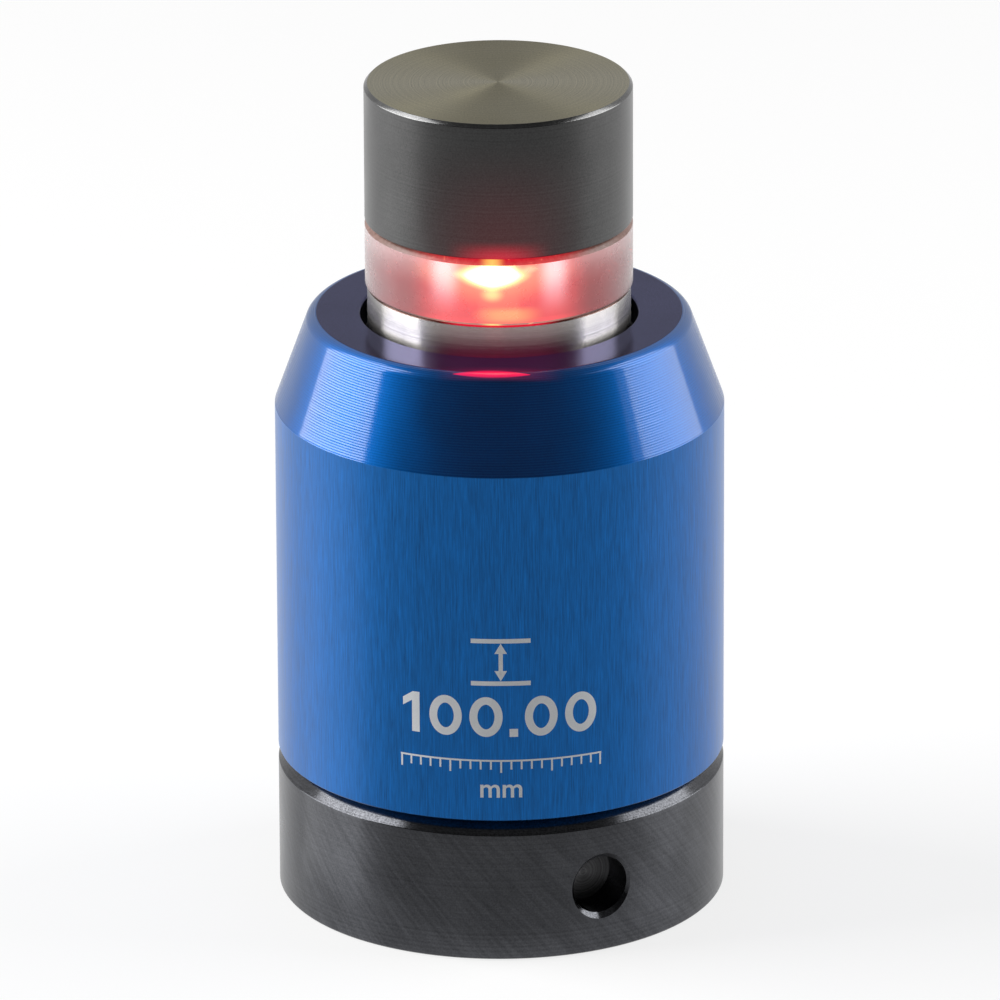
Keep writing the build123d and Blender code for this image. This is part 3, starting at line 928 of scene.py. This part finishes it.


# The window's glow is painted light: emission spots, a strip and pale bands, laid on by place round
# the lamp, stand in for the lamp's light in the acrylic and its reflections there.
spot_aside = -0.8
spot_height = 81.5
window_face, tree, shader = new_finish("frosted_acrylic")
across, aside, height, front = lamp_place(tree)
core = spot_distance(
    tree, across, height, centre=(spot_aside, spot_height), reach=(3.7, 1.55), power=1.5
)
below = spot_distance(tree, across, height, centre=(spot_aside, 79.2), reach=(1.3, 0.9))
beside = spot_distance(tree, across, height, centre=(3.6, 82.2), reach=(0.9, 0.45))
strip = spot_distance(tree, across, height, centre=(0.9, 76.6), reach=(4.2, 1.2), power=3.0)
band_aside = 6.4
band = sum_of(tree, "ABSOLUTE", sum_of(tree, "SUBTRACT", aside, band_aside))
high = sum_of(tree, "SUBTRACT", 1.0, falloff(tree, height, 76.0, 82.0))
paint_lamp_light(
    tree,
    shader,
    [
        ((26.0, 1.9, 1.1), product_of(tree, falloff(tree, core, 0.6, 1.05), front)),
        ((0.6, 0.7, 0.22), product_of(tree, falloff(tree, core, 0.85, 1.35), front)),
        ((0.3, 0.17, 0.06), product_of(tree, falloff(tree, core, 1.0, 3.0), front)),
        ((0.3, 0.5, 0.15), product_of(tree, falloff(tree, below, 0.1, 1.3), front)),
        ((0.3, 0.3, 0.15), product_of(tree, falloff(tree, beside, 0.2, 1.4), front)),
        ((0.62, 0.07, 0.08), product_of(tree, falloff(tree, aside, 5.8, 11.5), front)),
        ((0.1, 0.0, 0.0), falloff(tree, aside, 11.0, 15.7)),
        ((0.2, 0.46, 0.5), product_of(tree, falloff(tree, band, 0.2, 2.3), high, front)),
        ((0.3, 0.27, 0.06), product_of(tree, falloff(tree, strip, 0.2, 1.1), front)),
    ],
)
# The colour is pink on the front, a painted tint of the lamp's light, plain towards the back, and
# lighter towards the top.
place = place_of(tree)
cloud = noise(tree, place, scale=500.0, detail=4.0)
rise = sum_of(tree, "SUBTRACT", 1.0, falloff(tree, height, 79.0, 83.0))
rise = sum_of(tree, "MULTIPLY_ADD", cloud, 0.16, sum_of(tree, "MULTIPLY_ADD", rise, 0.9, -0.05))
pink = tones(tree, rise, [(0.0, (0.52, 0.25, 0.26)), (1.0, (0.86, 0.62, 0.62))])
plain = tones(tree, rise, [(0.0, (0.66, 0.63, 0.63)), (1.0, (0.84, 0.83, 0.82))])
back = node(tree, "SeparateXYZ", {0: place}).outputs["Y"]
behind = spread(tree, back, 0.0, 1.0, start=-10.5 * MM, end=0.0)
frost_and_lamp_tint = node(tree, "Mix", {"Factor": behind, "A": pink, "B": plain}, data_type="RGBA")
tree.links.new(frost_and_lamp_tint.outputs["Result"], shader.inputs["Base Color"])
rough = spread(tree, cloud, 0.24, 0.3, start=0.0, end=1.0)
tree.links.new(rough, shader.inputs["Roughness"])
acrylic_ior = 1.49
set_shader(shader, {"IOR": acrylic_ior, "Transmission Weight": 0.45})
# The groove's and the foot's darker brown and pink tones are painted shade under the cap and under
# the window's edge, with a painted lamp tint. Their emission is painted lamp light: a red glow,
# painted sparks on the flecks, and a pale painted spot over the lamp.
window_edges = []
for name, deep, pale, light in [
    ("window_groove", (0.22, 0.11, 0.085), (0.32, 0.18, 0.15), (0.55, 0.0, 0.015)),
    ("window_foot", (0.3, 0.2, 0.18), (0.4, 0.3, 0.28), (0.4, 0.2, 0.16)),
]:
    finish, tree, shader = new_finish(name)
    across, aside, height, front = lamp_place(tree)
    flecks = noise(tree, place_of(tree), scale=1600.0, detail=3.0)
    base = tones(tree, flecks, [(0.35, deep), (0.65, pale)])
    tree.links.new(base, shader.inputs["Base Color"])
    painted_sparks = falloff(tree, flecks, 0.7, 0.62)
    over_spot = sum_of(tree, "ABSOLUTE", sum_of(tree, "SUBTRACT", across, spot_aside))
    paint_lamp_light(
        tree,
        shader,
        [
            (light, product_of(tree, falloff(tree, aside, 5.0, 12.5), front)),
            ((0.6, 0.3, 0.1), product_of(tree, falloff(tree, aside, 3.0, 9.0), painted_sparks, front)),
            ((0.5, 0.55, 0.1), product_of(tree, falloff(tree, over_spot, 0.0, 1.7), front)),
        ],
    )
    rough = spread(tree, flecks, 0.25, 0.4, start=0.0, end=1.0)
    tree.links.new(rough, shader.inputs["Roughness"])
    set_shader(shader, {"IOR": acrylic_ior})
    window_edges.append(finish)
finished_piece(
    "window_ring", window_shape, [window_face, *window_edges], "head", "window"
)


# Cap. The contact face: a blackened steel disc, faced and turned fine, screwed down on the
# window from below with a hidden socket screw.
cap_radius = 15.75
cap_top = 100.0
cap_chamfer = 0.4
cap_edge = 0.15
cap_recess_roof = 85.3
cap_screw_radius, cap_screw_end = 2.6, 96.2
cap_shape = turned_shape(
    [
        (0, cap_screw_end),
        (cap_screw_radius, cap_screw_end),
        (cap_screw_radius, cap_recess_roof),
        (recess_radius, cap_recess_roof),
        (recess_radius, window_top),
        (cap_radius - cap_edge, window_top, 0.04),
        (cap_radius, window_top + cap_edge, 0.04),
        (cap_radius, cap_top - cap_chamfer, 0.06),
        (cap_radius - cap_chamfer, cap_top, 0.04),
        (0, cap_top),
    ]
)
wall_zone, face_zone, chamfer_zone = 0, 1, 2
for face in cap_shape.faces:
    height = face.calc_center_median().z / MM
    if height > cap_top - 0.005:
        face.material_index = face_zone
    elif height > cap_top - cap_chamfer - 0.01:
        face.material_index = chamfer_zone
cap_finishes = [
    turned_finish(
        "cap_black",
        (0.065, 0.065, 0.065),
        pitch=0.24,
        depth=0.001,
        roughness=0.36,
        patch=0.05,
        lines=0.05,
        speckle=0.1,
        Anisotropic=0.3,
        **{"Coat Weight": 0.3, "Coat Roughness": 0.4},
    ),
    turned_finish(
        "cap_face",
        (0.186, 0.17, 0.11),
        pitch=0.24,
        depth=0.0015,
        roughness=0.36,
        patch=0.03,
        lines=0.12,
        speckle=0.16,
        Anisotropic=0.8,
    ),
    turned_finish(
        "cap_edge", (0.13, 0.13, 0.13), pitch=0.24, depth=0.001, roughness=0.2, speckle=0.15
    ),
]
# Painted red light of the lamp on the cap's lower front, as emission: a strong narrow glow just
# over the window and a faint wide one.
tree = cap_finishes[wall_zone].node_tree
across, aside, height, front = lamp_place(tree)
over_window = sum_of(tree, "SUBTRACT", height, window_top)
painted_cap_glow = []
for colour, width, rise in [((0.5, 0.0, 0.02), 6.5, 2.4), ((0.045, 0.001, 0.003), 12.0, 15.0)]:
    amount = product_of(
        tree, falloff(tree, aside, 0.0, width), falloff(tree, over_window, 0.0, rise), front
    )
    painted_cap_glow.append((colour, amount))
paint_lamp_light(tree, tree.nodes["Principled BSDF"], painted_cap_glow)
finished_piece("contact_cap", cap_shape, cap_finishes, "head", "cap")
dress(
    ["cap_screw"],
    moulded_finish(
        "black_socket_screw",
        (0.05, 0.05, 0.055),
        roughness=0.35,
        grain=0.15,
        depth=0.002,
        Metallic=1.0,
    ),
)


# Mark on the housing's front, burnt through the blue by laser down to the pale metal: the
# setting height in plain figures, with a height sign over it and a row of ticks below.
mark = bmesh.new()


def add_bar(x, y, width, height):
    """An upright rectangle round its middle. All sizes of the mark are in millimetres, with x
    along the housing's girth."""
    size = Matrix.Diagonal((width, height, 1, 1))
    place = Matrix.Translation((x, y, 0))
    bmesh.ops.create_grid(mark, x_segments=1, y_segments=1, size=0.5, matrix=place @ size)


def add_arrowhead(x, y, radius, turn):
    """A triangle that points up, before it is turned."""
    place = Matrix.Translation((x, y, 0)) @ Matrix.Rotation(turn, 4, "Z")
    bmesh.ops.create_circle(mark, cap_ends=True, radius=radius, segments=3, matrix=place)


def add_nought(x, y, width, height, stroke):
    """A figure 0 round its middle."""
    size = Matrix.Diagonal((width, height, 1, 1))
    place = Matrix.Translation((x, y, 0))
    ring = bmesh.ops.create_circle(
        mark, cap_ends=True, radius=0.5, segments=64, matrix=place @ size
    )["verts"]
    disc = ring[0].link_faces[0]
    bmesh.ops.inset_region(
        mark, faces=[disc], thickness=stroke, use_boundary=True, use_even_offset=True
    )
    bmesh.ops.delete(mark, geom=[disc], context="FACES_ONLY")


def add_one(x, y, height, stroke):
    """A figure 1 that stands on y, its stem at x."""
    half = stroke / 2
    flag_reach, flag_drop = 1.15, 0.85
    outline = [
        (half, 0),
        (half, height),
        (-half + 0.1, height),
        (-half - flag_reach, height - flag_drop),
        (-half - flag_reach, height - flag_drop - 1.0),
        (-half, height - 1.1),
        (-half, 0),
    ]
    mark.faces.new([mark.verts.new((x + px, y + py, 0)) for px, py in outline])


def add_words(words, x, y, size):
    """Words in Blender's own typeface, made a little bolder."""
    boldness = 0.012
    curve = bpy.data.curves.new(words, "FONT")
    curve.body = words
    curve.size = size
    curve.offset = boldness * size
    curve.align_x = "CENTER"
    written = bpy.data.objects.new(words, curve)
    bpy.context.scene.collection.objects.link(written)
    mesh = baked_mesh(written)
    mesh.transform(Matrix.Translation((x, y, 0)))
    mark.from_mesh(mesh)
    bpy.data.curves.remove(curve)
    bpy.data.meshes.remove(mesh)


for height in (40.2, 34.9):
    add_bar(0, height, width=7.0, height=0.55)
add_bar(0, 37.55, width=0.5, height=3.4)
add_arrowhead(0, 39.05, radius=0.85, turn=0)
add_arrowhead(0, 36.05, radius=0.85, turn=pi)
figure_height, figure_width, figure_stroke = 5.0, 3.9, 0.95
figure_foot = 28.2
add_one(-10.2, figure_foot, figure_height, figure_stroke)
for x in (-6.55, -1.75, 4.75, 9.55):
    add_nought(x, figure_foot + figure_height / 2, figure_width, figure_height, figure_stroke)
add_bar(1.5, figure_foot + 0.5, width=1.0, height=1.0)
tick_gap, tick_width = 1.2, 0.22
for tick in range(21):
    longer = 0.5 * (tick % 5 == 0)
    add_bar(tick_gap * (tick - 10), 24.6 - 0.3 * longer, width=tick_width, height=1.0 + longer)
add_bar(0, 25.2, width=24.3, height=tick_width)
add_words("mm", 0, 20.6, size=3.4)
facet_width = 0.6
for step in range(-30, 31):
    bmesh.ops.bisect_plane(
        mark,
        geom=mark.verts[:] + mark.edges[:] + mark.faces[:],
        dist=1e-6,
        plane_co=(step * facet_width, 0, 0),
        plane_no=(1, 0, 0),
    )
mark_depth, mark_rise = 0.02, 0.004
draw_out(mark, (0, 0, -mark_depth))
for corner in mark.verts:
    radius = housing_radius + mark_rise + corner.co.z
    angle = corner.co.x / housing_radius
    corner.co = Vector((radius * sin(angle), -radius * cos(angle), corner.co.y)) * MM
bmesh.ops.recalc_face_normals(mark, faces=mark.faces)
mark_finish = moulded_finish(
    "bared_metal", (0.9, 0.92, 0.95), roughness=0.5, grain=0.12, depth=0.001, patch=0.1
)
finished_piece("height_mark", mark, [mark_finish], "body")


# Studio: a white table under a white sky, and two tall upright soft boxes beside the object.
# Grey cards in front and overhead, and cards on the table that are greyer or brighter than it,
# only show in the reflections.
def studio_material(name):
    """A material with no nodes, and its tree."""
    finish = bpy.data.materials.new(name)
    finish.use_nodes = True
    finish.node_tree.nodes.clear()
    return finish, finish.node_tree


def seen_share(tree):
    """1 where something is seen straight, mirrored or through the window, and 0 where it only
    lights other things."""
    ray = node(tree, "LightPath", {}).outputs
    seen = sum_of(tree, "MAXIMUM", ray["Is Camera Ray"], ray["Is Glossy Ray"])
    return sum_of(tree, "MAXIMUM", seen, ray["Is Transmission Ray"])


table_finish, tree = studio_material("table_white")
table_glow = sum_of(tree, "MULTIPLY", seen_share(tree), 0.72)
lit = node(tree, "BsdfDiffuse", {"Color": (0.3, 0.3, 0.3, 1)}).outputs[0]
glowing = node(tree, "Emission", {"Strength": table_glow}).outputs[0]
table_surface = node(tree, "AddShader", {0: lit, 1: glowing}).outputs[0]
node(tree, "OutputMaterial", {"Surface": table_surface})
table_shape = bmesh.new()
bmesh.ops.create_grid(table_shape, x_segments=1, y_segments=1, size=6.0)
table = made_object("table", table_shape)
table.data.materials.append(table_finish)


def reflected_card(name, corners, shade):
    """A card that only shows in reflections, and how bright it shows there."""
    card_finish, tree = studio_material(name)
    card_surface = node(tree, "Emission", {"Color": (shade, shade, shade, 1)}).outputs[0]
    node(tree, "OutputMaterial", {"Surface": card_surface})
    card_finish.cycles.emission_sampling = "NONE"
    shape = bmesh.new()
    shape.faces.new([shape.verts.new(corner) for corner in corners])
    card = made_object(name, shape)
    card.data.materials.append(card_finish)
    card.visible_camera = False
    card.visible_diffuse = False
    card.visible_shadow = False
    card.visible_transmission = False


reflected_card(
    "front_card",
    corners=[(-2.6, -0.9, 0), (2.6, -0.9, 0), (2.6, -0.9, 1.6), (-2.6, -0.9, 1.6)],
    shade=0.05,
)
reflected_card(
    "ceiling_card",
    corners=[(-1.2, -0.9, 1.3), (1.2, -0.9, 1.3), (1.2, 0.5, 1.3), (-1.2, 0.5, 1.3)],
    shade=0.12,
)
over_table = 0.0005
reflected_card(
    "floor_card",
    corners=[
        (-1.2, -0.9, over_table),
        (1.2, -0.9, over_table),
        (0.35, -0.03, over_table),
        (-0.35, -0.03, over_table),
    ],
    shade=0.6,
)
for name, side, shade in (("floor_glow_left", -1, 1.5), ("floor_glow_right", 1, 1.0)):
    reflected_card(
        name,
        corners=[
            (side * 0.031, -0.023, 2 * over_table),
            (side * 0.7, -0.19, 2 * over_table),
            (side * 0.6, 0.32, 2 * over_table),
            (side * 0.035, -0.004, 2 * over_table),
        ],
        shade=shade,
    )


def soft_light(name, azimuth, distance, height, size, radiance):
    """An upright rectangular light that stands at an azimuth from the front and faces the
    object. Its size is width and height, both in metres."""
    lamp = bpy.data.lights.new(name, "AREA")
    lamp.shape = "RECTANGLE"
    lamp.size, lamp.size_y = size
    lamp.energy = radiance * pi * size[0] * size[1]
    stand = bpy.data.objects.new(name, lamp)
    angle = radians(azimuth)
    stand.location = (distance * sin(angle), -distance * cos(angle), height)
    aim = Vector((0, 0, height)) - stand.location
    stand.rotation_euler = aim.to_track_quat("-Z", "Y").to_euler()
    stand.visible_camera = False
    bpy.context.scene.collection.objects.link(stand)


soft_light("softbox_left", -94.5, distance=0.6, height=0.5, size=(0.51, 0.92), radiance=5.0)
soft_light("softbox_right", 98, distance=0.6, height=0.39, size=(0.48, 0.7), radiance=3.4)

world = bpy.data.worlds.new("studio_room")
bpy.context.scene.world = world
world.use_nodes = True
world.cycles.sampling_method = "NONE"
tree = world.node_tree
tree.nodes.clear()
strength = spread(tree, seen_share(tree), 0.35, 1.0, start=0.0, end=1.0)
sky = node(tree, "Background", {"Strength": strength}).outputs[0]
node(tree, "OutputWorld", {"Surface": sky})


# Camera. It stands 1.46 m off, 20.6 degrees above level, and has a long lens: this was fitted
# to the rings of the outline in the photograph.
camera_distance = 1.4634
camera_rise = radians(20.644)
camera_roll = radians(-0.25)
aim_height = 0.04781
camera_data = bpy.data.cameras.new("camera")
camera_data.lens = 445.5
camera_data.sensor_width = 36.0
camera_data.clip_end = 20.0
camera = bpy.data.objects.new("camera", camera_data)
camera.location = (
    0,
    -camera_distance * cos(camera_rise),
    aim_height + camera_distance * sin(camera_rise),
)
aim = Vector((0, 0, aim_height)) - camera.location
turned = aim.to_track_quat("-Z", "Y").to_matrix() @ Matrix.Rotation(camera_roll, 3, "Z")
camera.rotation_euler = turned.to_euler()
bpy.context.scene.collection.objects.link(camera)
bpy.context.scene.camera = camera
bpy.context.scene.view_settings.view_transform = "Standard"
